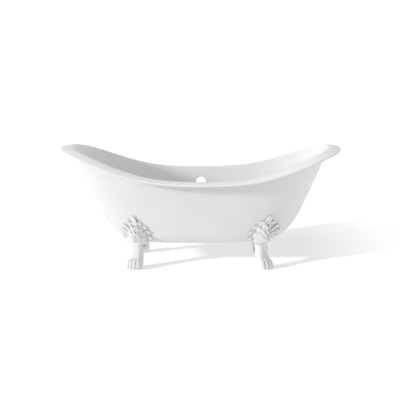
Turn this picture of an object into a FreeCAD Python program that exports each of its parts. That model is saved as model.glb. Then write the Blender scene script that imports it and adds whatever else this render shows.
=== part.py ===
# Double-ended slipper bath of cast iron on four lion-paw feet.
# X runs along the bath, Y across it and Z up; the origin is on the floor under the middle.
import FreeCAD
import Part
import math
import os

from FreeCAD import Placement, Rotation, Vector

doc = FreeCAD.newDocument("slipper_bath")
sheet = doc.addObject("Spreadsheet::Sheet", "dimensions")

# Driving dimensions in millimetres; angles are in degrees.
dimensions = (
    # shell
    ("overall_length", 1830, "rim, end to end"),
    ("overall_width", 780, "rim, side to side"),
    ("rim_end_height", 768, "rim crest at the two ends"),
    ("rim_side_height", 581, "rim crest at the middle of the sides"),
    ("rim_end_reach", 83, "rim edge beyond the end wall"),
    ("rim_side_reach", 68.5, "rim edge beyond the side wall"),
    ("rim_crest_reach", 21, "rim crest beyond the wall"),
    ("rim_roll_depth", 28, "height of the roll from the inside wall to the crest"),
    ("rim_fall", 8.5, "fall of the rim from its crest to its edge"),
    ("rim_edge_round", 7, "rounding of the rim's outer edge"),
    ("rim_lip", 15, "height of the lip turned down at the edge"),
    ("rim_plate", 8, "metal thickness of the rim"),
    ("wall", 7, "metal thickness of the walls"),
    ("floor_plate", 9, "metal thickness of the floor"),
    ("underside_height", 155, "underside of the bottom"),
    ("shoulder_height", 400, "level below which the bowl's sections are flat"),
    ("end_bend_height", 396, "where the end walls start to curve in"),
    ("side_bend_height", 240, "where the side walls start to curve in"),
    ("end_lean", 24.2, "end walls, angle off plumb"),
    ("side_lean", 10, "side walls, angle off plumb"),
    ("floor_end_inset", 497, "flat of the bottom, inside the end of the rim"),
    ("floor_side_inset", 225, "flat of the bottom, inside the side of the rim"),
    # holes
    ("overflow_diameter", 64, "overflow hole in the far wall"),
    ("overflow_height", 482, "middle of the overflow hole"),
    ("drain_diameter", 52, "waste hole"),
    ("drain_across", 92, "waste hole, from the middle towards the overflow"),
    ("drain_rebate_diameter", 86, "rebate for the flange of a waste"),
    ("drain_rebate_depth", 3, "depth of that rebate"),
    ("drain_pad_diameter", 100, "pad under the waste hole"),
    ("drain_pad_height", 5, "height of that pad"),
    # feet
    ("leg_end_inset", 515, "leg axis, inside the end of the rim"),
    ("leg_side_inset", 170, "leg axis, inside the side of the rim"),
    ("foot_angle", 66, "way that the toes point, off the length of the bath"),
    ("leg_diameter", 74, "leg at its thinnest"),
    ("leg_height", 290, "top of the leg, inside the shell's room"),
    ("sole_height", 2, "sole of the paw above the floor"),
    ("paw_width", 108, "paw across the toes"),
    ("toe_length", 76, "one toe"),
    ("toe_width", 30, "one toe"),
    ("toe_height", 50, "one toe"),
    ("toe_reach", 52, "middle of a toe in front of the leg axis"),
    ("toe_pitch", 32, "slope of the toes"),
    ("claw_length", 26, "one claw"),
    ("claw_width", 13, "one claw"),
    ("crest_root_height", 176, "where the leaf lobes spring from"),
    ("crest_reach", 172, "tallest lobe, from that root"),
    ("crest_shift", 15, "tip of the tallest lobe, off the leg axis towards the end of the bath"),
    ("crest_half_angle", 92, "outermost lobe, off plumb"),
    ("lobe_width", 32, "one lobe"),
    ("lobe_thickness", 26, "one lobe, measured through"),
    ("shelf_height", 142, "top of the shelf, where the boss sits"),
    ("shelf_plate", 16, "thickness of the shelf"),
    ("shelf_width", 60, "shelf behind the leg"),
    # foot fixing
    ("stud_inset", 55, "stud, behind the leg axis"),
    ("stud_diameter", 12, "stud"),
    ("stud_engagement", 18, "stud inside its boss"),
    ("stud_tail", 4, "stud below its nut"),
    ("stud_chamfer", 1.2, "chamfer of the stud's ends"),
    ("boss_diameter", 54, "boss under the shell"),
    ("washer_diameter", 24, "plain washer"),
    ("washer_plate", 2.5, "plain washer"),
    ("spring_diameter", 21, "spring washer"),
    ("spring_plate", 2.5, "spring washer"),
    ("spring_slot", 3, "split of the spring washer"),
    ("nut_flats", 18, "nut across its flats"),
    ("nut_height", 10, "nut"),
    # levelling
    ("level_reach", 28, "levelling screw, in front of the leg axis"),
    ("screw_diameter", 12, "levelling screw"),
    ("screw_length", 50, "levelling screw above its collar"),
    ("collar_flats", 19, "collar of the levelling screw across its flats"),
    ("collar_height", 7, "collar of the levelling screw"),
    ("spigot_diameter", 10, "foot of the screw in its glide"),
    ("spigot_length", 5, "foot of the screw in its glide"),
    ("jam_nut_height", 6, "lock nut"),
    ("glide_diameter", 40, "glide on the floor"),
    ("glide_height", 9, "glide on the floor"),
    ("glide_bevel", 2, "bevel round the glide's upper edge"),
    ("recess_diameter", 48, "recess in the sole"),
    # clearances
    ("thread_clearance", 0.06, "screw in its thread, at the radius"),
    ("bolt_clearance", 0.75, "bolt in a plain hole, at the radius"),
    ("trim_clearance", 0.6, "foot to shell"),
    ("bore_overrun", 6, "hole past the end of its screw"),
    ("cut_overrun", 20, "tools past the faces that they cut"),
)
for row, (alias, value, note) in enumerate(dimensions, 1):
    sheet.set(f"A{row}", note)
    sheet.set(f"B{row}", str(value))
    sheet.setAlias(f"B{row}", alias)
doc.recompute()

# Shape of the plan and the sheer: pure numbers.
plan_power = 2.75
sweep_power = 1.86
climb_power = 2.37
sweep_share = 0.41
ring_points = 48
corners = (("rear_right", 1, 1), ("rear_left", -1, 1), ("front_right", 1, -1), ("front_left", -1, -1))


def size(alias):
    return float(sheet.get(alias))


def bind(item, **bindings):
    for name, text in bindings.items():
        item.setExpression(name.replace("__", "."), text)
    return item


def add(kind, name, **bindings):
    return bind(doc.addObject(kind, name), **bindings)


def fused(name, items):
    result = doc.addObject("Part::MultiFuse", name)
    result.Shapes = items
    return result


def cut(name, base, tool):
    result = doc.addObject("Part::Cut", name)
    result.Base = base
    result.Tool = tool
    return result


def shaped(name, shape):
    result = doc.addObject("Part::Feature", name)
    result.Shape = shape
    return result


def slope(alias):
    return math.tan(math.radians(size(alias)))


# Plan of the bath: a superellipse, given as shares of the half length and half width.
def plan_share(angle):
    along = math.cos(angle)
    across = math.sin(angle)
    scale = (abs(along) ** plan_power + abs(across) ** plan_power) ** (-1 / plan_power)
    return along * scale, across * scale


ring_angles = [2 * math.pi * step / ring_points for step in range(ring_points + 1)]
plan_shares = [plan_share(angle) for angle in ring_angles[:-1]]


# Height of the rim crest: level along the sides, then a sweep and a steady climb up to the ends.
def sheer(along_share):
    along = abs(along_share)
    sweep = math.sin(math.pi / 2 * along ** sweep_power) ** 2
    rise = sweep_share * sweep + (1 - sweep_share) * along ** climb_power
    return size("rim_side_height") + rise * (size("rim_end_height") - size("rim_side_height"))


def closed_curve(points):
    curve = Part.BSplineCurve()
    curve.interpolate(Points=points, PeriodicFlag=True, Parameters=ring_angles)
    return curve


# Smooth face through closed curves that share their parameters.
def skin(curves):
    rows = [curve.getPoles() for curve in curves]
    stations = [0.0]
    for first, second in zip(rows, rows[1:]):
        steps = [(after - before).Length for before, after in zip(first, second)]
        stations.append(stations[-1] + sum(steps) / len(steps))
    lines = []
    for poles in zip(*rows):
        line = Part.BSplineCurve()
        line.interpolate(Points=list(poles), Parameters=stations)
        lines.append(line)
    face = Part.BSplineSurface()
    face.buildFromPolesMultsKnots(
        [line.getPoles() for line in lines],
        curves[0].getMultiplicities(),
        lines[0].getMultiplicities(),
        curves[0].getKnots(),
        lines[0].getKnots(),
        True,
        False,
        curves[0].Degree,
        lines[0].Degree,
    )
    return face.toShape()


def flat_face(curve):
    return Part.Face(Part.Wire(curve.toShape()))


# Straight face between two closed curves.
def band(first, second):
    return Part.makeLoft([Part.Wire(first.toShape()), Part.Wire(second.toShape())], False, True).Faces


# One face of the bowl's metal: inset 0 is the outside, inset 1 the inside, and swell moves it outward.
class Bowl:
    def __init__(self, inset, swell=0.0):
        self.inset = inset
        self.swell = swell
        self.floor = size("underside_height") + inset * size("floor_plate") - swell

    # Half size at a height: a straight wall, then a parabola that runs out level into the floor.
    def half(self, height, rim_half, rim_height, lean, bend_height, floor_half):
        foot = rim_half - self.inset * size("wall") / math.cos(math.radians(size(lean))) + self.swell
        bend_half = foot - (rim_height - size("rim_roll_depth") - bend_height) * slope(lean)
        if height >= bend_height:
            return bend_half + (height - bend_height) * slope(lean)
        corner = bend_half - (bend_height - self.floor) * slope(lean)
        near = math.sqrt(max(height - self.floor, 0.0) / (bend_height - self.floor))
        far = 1 - near
        return near * near * bend_half + 2 * near * far * corner + far * far * floor_half

    def half_length(self, height):
        rim_half = size("overall_length") / 2 - size("rim_end_reach")
        bend_height = size("end_bend_height")
        floor_half = size("overall_length") / 2 - size("floor_end_inset")
        return self.half(height, rim_half, size("rim_end_height"), "end_lean", bend_height, floor_half)

    def half_width(self, height):
        rim_half = size("overall_width") / 2 - size("rim_side_reach")
        bend_height = size("side_bend_height")
        floor_half = size("overall_width") / 2 - size("floor_side_inset")
        return self.half(height, rim_half, size("rim_side_height"), "side_lean", bend_height, floor_half)

    # Closed curve round this face, at a height worked out from its share of the half length.
    def ring(self, height):
        points = []
        for along, across in plan_shares:
            level = height(along)
            points.append(Vector(along * self.half_length(level), across * self.half_width(level), level))
        return closed_curve(points)

    # Level rings from the floor to the shoulder, closer together towards the floor.
    def level_rings(self):
        depth = size("shoulder_height") - self.floor
        levels = [self.floor + depth * share ** 2 for share in level_shares]
        return [self.ring(lambda along, level=level: level) for level in levels]

    # Rings from the shoulder up to the wall's top, a drop below the rim crest.
    def sheered_rings(self, drop):
        shoulder = size("shoulder_height")
        rings = []
        for share in sheered_shares:
            rings.append(
                self.ring(lambda along, share=share: shoulder * (1 - share) + (sheer(along) - drop) * share)
            )
        return rings

    def solid(self):
        rings = self.level_rings()
        return solid_from([flat_face(rings[0]), skin(rings), flat_face(rings[-1])])

    # Whether a point lies inside this face, below the shoulder.
    def holds(self, x, y, z):
        along = abs(x) / self.half_length(z)
        across = abs(y) / self.half_width(z)
        return z > self.floor and along ** plan_power + across ** plan_power < 1


level_shares = (0, 0.07, 0.14, 0.23, 0.33, 0.43, 0.54, 0.65, 0.77, 0.89, 1)
sheered_shares = (0.35, 0.7, 1)
roll_shares = (0.3, 0.55, 0.78, 1)
flange_shares = (0.35, 0.7, 1)
junction_share = 0.36
edge_angles = (30, 60, 90)


# Ring of the rim: reaches are beyond the outside wall at an end and a side, drop is below the crest.
def rim_ring(end_reach, side_reach, drop):
    outside = Bowl(0)
    points = []
    for along, across in plan_shares:
        level = sheer(along) - size("rim_roll_depth")
        x = along * (outside.half_length(level) + end_reach)
        y = across * (outside.half_width(level) + side_reach)
        points.append(Vector(x, y, sheer(along) - drop))
    return closed_curve(points)


# Roll from the inside wall up to the crest: a parabola that leaves the wall in line with it.
def roll_rings():
    depth = size("rim_roll_depth")
    rings = []
    for share in roll_shares:
        rest = 1 - share
        reaches = []
        for lean in ("end_lean", "side_lean"):
            start = -size("wall") / math.cos(math.radians(size(lean)))
            corner = start + depth * slope(lean)
            crest = size("rim_crest_reach")
            reaches.append(rest ** 2 * start + 2 * rest * share * corner + share ** 2 * crest)
        rings.append(rim_ring(*reaches, depth * rest ** 2))
    return rings


# Top of the rim from the crest to its rounded edge.
def flange_rings():
    rounding = size("rim_edge_round")
    crest = size("rim_crest_reach")
    reaches = (size("rim_end_reach"), size("rim_side_reach"))
    rings = []
    for share in flange_shares:
        parts = [crest + share * (reach - rounding - crest) for reach in reaches]
        rings.append(rim_ring(*parts, size("rim_fall") * share ** 2))
    for angle in edge_angles:
        turn = math.radians(angle)
        inset = rounding * (1 - math.sin(turn))
        drop = size("rim_fall") + rounding * (1 - math.cos(turn))
        rings.append(rim_ring(reaches[0] - inset, reaches[1] - inset, drop))
    return rings


def shell_faces():
    outside = Bowl(0)
    inside = Bowl(1)
    plate = size("rim_plate")
    reaches = (size("rim_end_reach"), size("rim_side_reach"))
    inner_reaches = [reach - plate for reach in reaches]
    lip_bottom = size("rim_fall") + size("rim_lip")
    junction = plate + junction_share * size("rim_roll_depth")
    outer_rings = outside.level_rings() + outside.sheered_rings(junction)
    inner_rings = inside.level_rings() + inside.sheered_rings(size("rim_roll_depth"))
    inner_rings += roll_rings() + flange_rings()
    edge_rings = (
        inner_rings[-1],
        rim_ring(*reaches, lip_bottom),
        rim_ring(*inner_reaches, lip_bottom),
        rim_ring(*inner_reaches, size("rim_fall") + plate),
        rim_ring(size("rim_crest_reach"), size("rim_crest_reach"), plate),
        outer_rings[-1],
    )
    faces = [flat_face(outer_rings[0]), flat_face(inner_rings[0]), skin(outer_rings), skin(inner_rings)]
    for first, second in zip(edge_rings, edge_rings[1:]):
        faces += band(first, second)
    return faces


def solid_from(faces):
    shell = Part.makeShell(faces)
    shell.sewShape()
    solid = Part.makeSolid(shell)
    solid.fix(Part.Precision.confusion(), Part.Precision.confusion(), Part.Precision.confusion())
    return solid


# Place of a foot's own frame: x points along the toes, and the origin is on the floor at the leg axis.
leg_along = size("overall_length") / 2 - size("leg_end_inset")
leg_across = size("overall_width") / 2 - size("leg_side_inset")
foot_place = Placement(Vector(leg_along, leg_across, 0), Rotation(Vector(0, 0, 1), size("foot_angle")))
toe_angle = "dimensions.foot_angle * 1 deg"


# Place of a round piece on the foot's centre plane, the same way up in all four corners.
def stand(item, side_along, side_across, reach, height):
    along = f"dimensions.overall_length / 2 - dimensions.leg_end_inset + ({reach}) * cos({toe_angle})"
    across = f"dimensions.overall_width / 2 - dimensions.leg_side_inset + ({reach}) * sin({toe_angle})"
    return bind(
        item,
        Placement__Base__x=f"{side_along} * ({along})",
        Placement__Base__y=f"{side_across} * ({across})",
        Placement__Base__z=height,
    )


def make_shell():
    blank = shaped("shell_blank", solid_from(shell_faces()))
    bosses = []
    for corner, side_along, side_across in corners:
        boss = add(
            "Part::Cylinder",
            f"boss_{corner}",
            Radius="dimensions.boss_diameter / 2",
            Height="dimensions.side_bend_height - dimensions.shelf_height",
        )
        stand(boss, side_along, side_across, "-dimensions.stud_inset", "dimensions.shelf_height")
        bosses.append(boss)
    pad = add(
        "Part::Cylinder",
        "drain_pad",
        Radius="dimensions.drain_pad_diameter / 2",
        Height="dimensions.drain_pad_height + dimensions.floor_plate / 2",
        Placement__Base__y="dimensions.drain_across",
        Placement__Base__z="dimensions.underside_height - dimensions.drain_pad_height",
    )
    hollow = shaped("bath_hollow", Bowl(1).solid())
    outer_bosses = cut("outer_bosses", fused("boss_blanks", bosses + [pad]), hollow)
    body = fused("shell_body", [blank, outer_bosses])
    shell = cut("tub_shell", body, fused("shell_holes", stud_holes() + drain_tools() + [overflow_tool()]))
    return shell


def stud_holes():
    holes = []
    for corner, side_along, side_across in corners:
        hole = add(
            "Part::Cylinder",
            f"stud_hole_{corner}",
            Radius="dimensions.stud_diameter / 2 + dimensions.thread_clearance",
            Height="dimensions.stud_engagement + dimensions.stud_chamfer + dimensions.cut_overrun",
        )
        height = "dimensions.shelf_height - dimensions.cut_overrun"
        holes.append(stand(hole, side_along, side_across, "-dimensions.stud_inset", height))
    return holes


def drain_tools():
    floor_top = "dimensions.underside_height + dimensions.floor_plate"
    through = add(
        "Part::Cylinder",
        "drain_hole",
        Radius="dimensions.drain_diameter / 2",
        Height="2 * dimensions.cut_overrun + dimensions.floor_plate",
        Placement__Base__y="dimensions.drain_across",
        Placement__Base__z="dimensions.underside_height - dimensions.cut_overrun",
    )
    rebate = add(
        "Part::Cylinder",
        "drain_rebate",
        Radius="dimensions.drain_rebate_diameter / 2",
        Height="dimensions.drain_rebate_depth + dimensions.cut_overrun",
        Placement__Base__y="dimensions.drain_across",
        Placement__Base__z=f"{floor_top} - dimensions.drain_rebate_depth",
    )
    return [through, rebate]


# Overflow hole, square to the leaning far wall.
def overflow_tool():
    half_width = Bowl(0).half_width(size("overflow_height"))
    lean = math.radians(size("side_lean"))
    outward = Vector(0, math.cos(lean), -math.sin(lean))
    start = Vector(0, half_width, size("overflow_height")) - outward * size("cut_overrun")
    hole = add(
        "Part::Cylinder",
        "overflow_hole",
        Radius="dimensions.overflow_diameter / 2",
        Height="2 * dimensions.cut_overrun",
    )
    hole.Placement = Placement(start, Rotation(Vector(0, 0, 1), outward))
    return hole


# Leg and paw: shares of the leg height, then of the leg diameter for the forward shift and half sizes.
leg_shares = (
    (0, 0.36, 0.52, 0.6),
    (0.05, 0.36, 0.6, 0.66),
    (0.13, 0.31, 0.62, 0.66),
    (0.23, 0.2, 0.57, 0.59),
    (0.34, 0.06, 0.51, 0.51),
    (0.47, 0, 0.49, 0.5),
    (0.6, 0.02, 0.5, 0.53),
    (0.72, 0.03, 0.5, 0.6),
    (0.82, 0.01, 0.45, 0.62),
    (0.92, -0.04, 0.34, 0.55),
    (1, -0.1, 0.2, 0.42),
)
# Toes: shares of the paw width sideways and of the toe length set back.
toe_shares = ((-0.37, 0.16), (-0.125, 0), (0.125, 0), (0.37, 0.16))
claw_reach_share = 0.62
claw_thickness_share = 0.7
# Lobes of the leaf: shares of the crest's half angle and of its reach.
lobe_shares = (
    (0, 1),
    (0.1, 0.87),
    (0.23, 0.77),
    (0.4, 0.72),
    (0.6, 0.69),
    (0.76, 0.67),
    (1, 0.5),
)
# One lobe runs from this share of its own reach.
lobe_inner_share = 0.25
# The leaf lies no further behind the leg axis than this share of the leg diameter.
leaf_back_share = 0.3


def leg_form():
    rings = []
    diameter = size("leg_diameter")
    rise = size("leg_height") - size("sole_height")
    for height, forward, depth, width in leg_shares:
        points = []
        for angle in ring_angles[:-1]:
            x = diameter * (forward + depth * math.cos(angle))
            y = diameter * width * math.sin(angle)
            points.append(Vector(x, y, size("sole_height") + height * rise))
        rings.append(closed_curve(points))
    return shaped("leg_form", solid_from([flat_face(rings[0]), skin(rings), flat_face(rings[-1])]))


# Ellipsoid whose z axis is its length, x its thickness and y its width.
def ellipsoid(name, place, **radii):
    item = add("Part::Ellipsoid", name, **radii)
    item.Placement = place
    return item


def toe_forms():
    forms = []
    pitch = math.radians(size("toe_pitch"))
    ahead = Vector(math.cos(pitch), 0, -math.sin(pitch))
    turn = Rotation(Vector(0, 0, 1), ahead)
    for number, (across, setback) in enumerate(toe_shares):
        middle = Vector(
            size("toe_reach") - setback * size("toe_length"),
            across * size("paw_width"),
            size("sole_height") + size("toe_height") / 2,
        )
        toe = ellipsoid(
            f"toe_{number}",
            Placement(middle, turn),
            Radius1="dimensions.toe_length / 2",
            Radius2="dimensions.toe_height / 2",
            Radius3="dimensions.toe_width / 2",
        )
        tip = middle + ahead * claw_reach_share * (size("toe_length") - size("claw_length"))
        claw = ellipsoid(
            f"claw_{number}",
            Placement(tip, turn),
            Radius1="dimensions.claw_length / 2",
            Radius2=f"dimensions.claw_width * {claw_thickness_share}",
            Radius3="dimensions.claw_width / 2",
        )
        forms += [toe, claw]
    return forms


bisection_steps = 40


# Where the shell's outside lies in the foot's frame, outward from the leg axis, at y and z there.
def shell_front(bowl, y, z):
    low = -size("stud_inset")
    high = size("crest_reach")
    for _ in range(bisection_steps):
        middle = (low + high) / 2
        spot = foot_place.multVec(Vector(middle, y, z))
        if bowl.holds(spot.x, spot.y, spot.z):
            low = middle
        else:
            high = middle
    return max(low, -size("leg_diameter") * leaf_back_share)


# Front of the leg in the foot's frame at y and z there, between two rings of its table.
def knee_front(y, z):
    diameter = size("leg_diameter")
    share = (z - size("sole_height")) / (size("leg_height") - size("sole_height"))
    for below, above in zip(leg_shares, leg_shares[1:]):
        if below[0] <= share <= above[0]:
            blend = (share - below[0]) / (above[0] - below[0])
            forward, depth, width = [low + blend * (high - low) for low, high in zip(below[1:], above[1:])]
            room = 1 - (y / (diameter * width)) ** 2
            if room > 0:
                return diameter * (forward + depth * math.sqrt(room))
    return -diameter


# Point of the leaf: on the shell or on the knee of the leg, whichever is further out.
def crest_point(bowl, angle, reach):
    y = reach * (math.sin(angle) - size("crest_shift") / size("crest_reach"))
    z = size("crest_root_height") + reach * math.cos(angle)
    return Vector(max(shell_front(bowl, y, z), knee_front(y, z)), y, z)


# Leaf form that lies on the shell between two reaches from the root, at an angle off plumb.
def crest_form(name, angle, inner, outer, thickness, width):
    bowl = Bowl(0)
    root = crest_point(bowl, angle, inner)
    tip = crest_point(bowl, angle, outer)
    length = tip - root
    aside = Vector(0, math.cos(angle), -math.sin(angle))
    turn = Rotation(aside.cross(length), Vector(0, 0, 0), length, "ZXY")
    item = ellipsoid(name, Placement((root + tip) / 2, turn), Radius2=thickness, Radius3=width)
    item.Radius1 = length.Length / 2
    return item


def crest_forms():
    reach = size("crest_reach")
    thickness = "dimensions.lobe_thickness / 2"
    forms = []
    half_angle = math.radians(size("crest_half_angle"))
    for number, (angle_share, reach_share) in enumerate(lobe_shares):
        for side in (1, -1) if number else (1,):
            angle = side * angle_share * half_angle
            tip = reach_share * reach
            name = f"lobe_{number}_{'right' if side > 0 else 'left'}"
            forms.append(
                crest_form(name, angle, tip * lobe_inner_share, tip, thickness, "dimensions.lobe_width / 2")
            )
    return forms


def make_master_foot():
    shelf_bottom = "dimensions.shelf_height - dimensions.shelf_plate"
    shelf_end = add(
        "Part::Cylinder",
        "shelf_end",
        Radius="dimensions.shelf_width / 2",
        Height="dimensions.shelf_plate",
        Placement__Base__x="-dimensions.stud_inset",
        Placement__Base__z=shelf_bottom,
    )
    shelf_web = add(
        "Part::Box",
        "shelf_web",
        Length="dimensions.stud_inset",
        Width="dimensions.shelf_width",
        Height="dimensions.shelf_plate",
        Placement__Base__x="-dimensions.stud_inset",
        Placement__Base__y="-dimensions.shelf_width / 2",
        Placement__Base__z=shelf_bottom,
    )
    form = fused("foot_form", [leg_form(), shelf_end, shelf_web] + toe_forms() + crest_forms())
    foot = cut("foot_rear_right", form, fused("foot_tools", foot_tools()))
    foot.Placement = foot_place
    return foot


# What is taken out of a foot: the room of the shell and its boss, the floor, the screws and their recess.
def foot_tools():
    shell_room = shaped("shell_room", Bowl(0, size("trim_clearance")).solid())
    shell_room.Placement = foot_place.inverse()
    boss_room = add(
        "Part::Cylinder",
        "boss_room",
        Radius="dimensions.boss_diameter / 2 + dimensions.trim_clearance",
        Height="dimensions.side_bend_height - dimensions.shelf_height",
        Placement__Base__x="-dimensions.stud_inset",
        Placement__Base__z="dimensions.shelf_height",
    )
    stud_room = add(
        "Part::Cylinder",
        "stud_room",
        Radius="dimensions.stud_diameter / 2 + dimensions.bolt_clearance",
        Height="dimensions.shelf_plate + 2 * dimensions.cut_overrun",
        Placement__Base__x="-dimensions.stud_inset",
        Placement__Base__z="dimensions.shelf_height - dimensions.shelf_plate - dimensions.cut_overrun",
    )
    floor_room = add(
        "Part::Box",
        "floor_room",
        Length="2 * dimensions.crest_reach",
        Width="2 * dimensions.crest_reach",
        Height="dimensions.cut_overrun",
        Placement__Base__x="-dimensions.crest_reach",
        Placement__Base__y="-dimensions.crest_reach",
        Placement__Base__z="dimensions.sole_height - dimensions.cut_overrun",
    )
    recess = add(
        "Part::Cylinder",
        "sole_recess",
        Radius="dimensions.recess_diameter / 2",
        Height="dimensions.glide_height + dimensions.collar_height + dimensions.jam_nut_height",
        Placement__Base__x="dimensions.level_reach",
    )
    screw_room = add(
        "Part::Cylinder",
        "screw_room",
        Radius="dimensions.screw_diameter / 2 + dimensions.thread_clearance",
        Height="dimensions.glide_height + dimensions.collar_height + dimensions.screw_length"
        " + dimensions.bore_overrun",
        Placement__Base__x="dimensions.level_reach",
    )
    return [shell_room, boss_room, stud_room, floor_room, recess, screw_room]


def mirrored(name, source, normal):
    result = doc.addObject("Part::Mirroring", name)
    result.Source = source
    result.Normal = normal
    return result


def make_feet():
    rear_right = make_master_foot()
    rear_left = mirrored("foot_rear_left", rear_right, Vector(1, 0, 0))
    front_right = mirrored("foot_front_right", rear_right, Vector(0, 1, 0))
    front_left = mirrored("foot_front_left", front_right, Vector(1, 0, 0))
    return [rear_right, rear_left, front_right, front_left]


def new_body(name):
    return doc.addObject("PartDesign::Body", name)


def grow(body, kind, name, height, **bindings):
    item = body.newObject(f"PartDesign::{kind}", f"{body.Name}_{name}")
    return bind(item, Placement__Base__z=height, **bindings)


def make_stud(corner):
    body = new_body(f"foot_stud_{corner}")
    radius = "dimensions.stud_diameter / 2"
    tip = f"{radius} - dimensions.stud_chamfer"
    reach = (
        "dimensions.shelf_plate + dimensions.washer_plate + dimensions.spring_plate"
        " + dimensions.nut_height + dimensions.stud_tail"
    )
    chamfer = "dimensions.stud_chamfer"
    straight = f"({reach}) + dimensions.stud_engagement - 2 * {chamfer}"
    grow(body, "AdditiveCylinder", "shank", f"{chamfer} - ({reach})", Radius=radius, Height=straight)
    grow(body, "AdditiveCone", "tail", f"-({reach})", Radius1=tip, Radius2=radius, Height=chamfer)
    top = f"dimensions.stud_engagement - {chamfer}"
    grow(body, "AdditiveCone", "top", top, Radius1=radius, Radius2=tip, Height=chamfer)
    return body, "-dimensions.stud_inset", "dimensions.shelf_height"


def bore(body, radius, height):
    grow(
        body,
        "SubtractiveCylinder",
        "bore",
        "-dimensions.cut_overrun",
        Radius=radius,
        Height=f"{height} + 2 * dimensions.cut_overrun",
    )


def make_washer(corner):
    body = new_body(f"foot_washer_{corner}")
    plate = "dimensions.washer_plate"
    grow(body, "AdditiveCylinder", "disc", "0", Radius="dimensions.washer_diameter / 2", Height=plate)
    bore(body, "dimensions.stud_diameter / 2 + dimensions.bolt_clearance", plate)
    return body, "-dimensions.stud_inset", f"dimensions.shelf_height - dimensions.shelf_plate - {plate}"


def make_spring_washer(corner):
    body = new_body(f"foot_spring_washer_{corner}")
    plate = "dimensions.spring_plate"
    grow(body, "AdditiveCylinder", "ring", "0", Radius="dimensions.spring_diameter / 2", Height=plate)
    bore(body, "dimensions.stud_diameter / 2 + dimensions.bolt_clearance / 2", plate)
    slot = grow(
        body,
        "SubtractiveBox",
        "split",
        "-dimensions.cut_overrun",
        Length="dimensions.spring_diameter",
        Width="dimensions.spring_slot",
        Height=f"{plate} + 2 * dimensions.cut_overrun",
    )
    bind(slot, Placement__Base__y="-dimensions.spring_slot / 2")
    height = "dimensions.shelf_height - dimensions.shelf_plate - dimensions.washer_plate"
    return body, "-dimensions.stud_inset", f"{height} - {plate}"


def hexagon(body, flats, name, height, thickness):
    across_corners = f"dimensions.{flats} / 2 / cos(30 deg)"
    return grow(body, "AdditivePrism", name, height, Circumradius=across_corners, Height=thickness)


def make_nut(corner):
    body = new_body(f"foot_nut_{corner}")
    hexagon(body, "nut_flats", "hexagon", "0", "dimensions.nut_height")
    bore(body, "dimensions.stud_diameter / 2 + dimensions.thread_clearance", "dimensions.nut_height")
    height = (
        "dimensions.shelf_height - dimensions.shelf_plate - dimensions.washer_plate"
        " - dimensions.spring_plate - dimensions.nut_height"
    )
    return body, "-dimensions.stud_inset", height


def make_screw(corner):
    body = new_body(f"levelling_screw_{corner}")
    collar_top = "dimensions.collar_height"
    hexagon(body, "collar_flats", "collar", "0", collar_top)
    shank = "dimensions.screw_diameter / 2"
    shank_length = f"{collar_top} + dimensions.screw_length"
    grow(body, "AdditiveCylinder", "shank", "0", Radius=shank, Height=shank_length)
    spigot = "dimensions.spigot_diameter / 2"
    length = "dimensions.spigot_length"
    grow(body, "AdditiveCylinder", "spigot", f"-{length}", Radius=spigot, Height=f"{length} + {collar_top}")
    return body, "dimensions.level_reach", "dimensions.glide_height"


def make_jam_nut(corner):
    body = new_body(f"levelling_jam_nut_{corner}")
    hexagon(body, "collar_flats", "hexagon", "0", "dimensions.jam_nut_height")
    bore(body, "dimensions.screw_diameter / 2 + dimensions.thread_clearance", "dimensions.jam_nut_height")
    return body, "dimensions.level_reach", "dimensions.glide_height + dimensions.collar_height"


def make_glide(corner):
    body = new_body(f"levelling_glide_{corner}")
    radius = "dimensions.glide_diameter / 2"
    bevel = "dimensions.glide_bevel"
    straight = f"dimensions.glide_height - {bevel}"
    top_radius = f"{radius} - {bevel}"
    grow(body, "AdditiveCylinder", "disc", "0", Radius=radius, Height=straight)
    grow(body, "AdditiveCone", "bevel", straight, Radius1=radius, Radius2=top_radius, Height=bevel)
    grow(
        body,
        "SubtractiveCylinder",
        "socket",
        "dimensions.glide_height - dimensions.spigot_length",
        Radius="dimensions.spigot_diameter / 2 + dimensions.thread_clearance",
        Height="dimensions.spigot_length + dimensions.cut_overrun",
    )
    return body, "dimensions.level_reach", "0"


def make_fixings():
    bodies = []
    makers = (make_stud, make_washer, make_spring_washer, make_nut, make_screw, make_jam_nut, make_glide)
    for corner, side_along, side_across in corners:
        for maker in makers:
            body, reach, height = maker(corner)
            bodies.append(stand(body, side_along, side_across, reach, height))
    return bodies


nodes = [make_shell()] + make_feet() + make_fixings()
doc.recompute()

# Every object must have recomputed cleanly, and every node must be one valid solid.
for item in doc.Objects:
    if "Invalid" in item.State or "Error" in item.State:
        raise RuntimeError(f"{item.Label} failed to recompute: {item.State}")
for node in nodes:
    if node.Shape.isNull() or not node.Shape.isValid() or len(node.Shape.Solids) != 1:
        raise RuntimeError(f"{node.Label} is not one valid solid")

os.makedirs("parts", exist_ok=True)
for node in nodes:
    node.Shape.exportStep(os.path.join("parts", f"{node.Label}.step"))
    print(f"{node.Label}: {node.Shape.Volume / 1000:.1f} cubic centimetres")
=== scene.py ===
import math

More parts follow.
